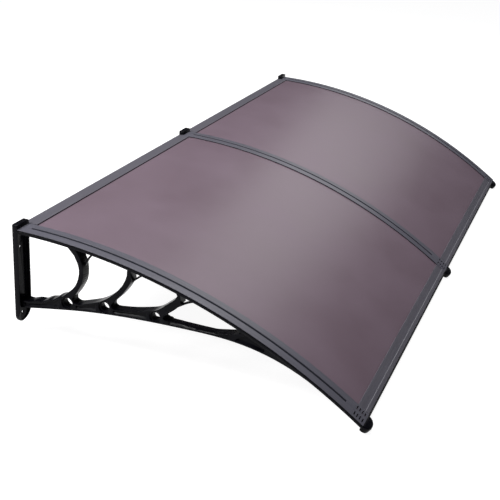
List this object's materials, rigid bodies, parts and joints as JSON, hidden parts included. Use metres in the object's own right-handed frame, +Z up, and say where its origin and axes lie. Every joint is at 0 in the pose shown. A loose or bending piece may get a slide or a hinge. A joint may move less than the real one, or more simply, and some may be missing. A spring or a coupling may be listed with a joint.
{
  "type": "window awning",
  "caption": "Curved window or door awning: moulded arch brackets on wall plates hold bent brown sheets under grooved cover strips, with edge rails.",
  "frame": {"origin": "on the wall plane, in the middle of the middle bracket's wall plate, 140 mm above the plate's foot", "axes": "+Y into the wall, +X along the wall to the right as seen from in front, +Z up"},
  "size_m": [1.942, 0.9656, 0.3213],
  "materials": {
    "black_plastic": "moulded black plastic, satin",
    "grey_plastic": "dark blue-grey plastic, satin",
    "brown_sheet": "tinted brown polycarbonate, smooth and glossy",
    "grey_aluminium": "dark grey coated aluminium profile, satin",
    "black_rubber": "matte black rubber",
    "dark_steel": "black coated steel"
  },
  "bodies": {
    "root": {"bracket_left": "black_plastic", "cover_strip_left": "grey_plastic", "filler_bead_left": "black_rubber", "strip_seal_left_1": "black_rubber", "strip_seal_left_2": "black_rubber", "strip_screw_left_1": "dark_steel", "strip_screw_left_2": "dark_steel", "strip_screw_left_3": "dark_steel", "strip_screw_left_4": "dark_steel", "bracket_middle": "black_plastic", "cover_strip_middle": "grey_plastic", "filler_bead_middle": "black_rubber", "strip_seal_middle_1": "black_rubber", "strip_seal_middle_2": "black_rubber", "strip_screw_middle_1": "dark_steel", "strip_screw_middle_2": "dark_steel", "strip_screw_middle_3": "dark_steel", "strip_screw_middle_4": "dark_steel", "bracket_right": "black_plastic", "cover_strip_right": "grey_plastic", "filler_bead_right": "black_rubber", "strip_seal_right_1": "black_rubber", "strip_seal_right_2": "black_rubber", "strip_screw_right_1": "dark_steel", "strip_screw_right_2": "dark_steel", "strip_screw_right_3": "dark_steel", "strip_screw_right_4": "dark_steel", "seal_left": "black_rubber", "seal_middle_left": "black_rubber", "seal_middle_right": "black_rubber", "seal_right": "black_rubber", "sheet_left": "brown_sheet", "rear_rail_left": "grey_aluminium", "front_rail_left": "grey_aluminium", "rail_seal_left": "black_rubber", "drip_seal_left": "black_rubber", "sheet_right": "brown_sheet", "rear_rail_right": "grey_aluminium", "front_rail_right": "grey_aluminium", "rail_seal_right": "black_rubber", "drip_seal_right": "black_rubber"}
  },
  "joints": []
}
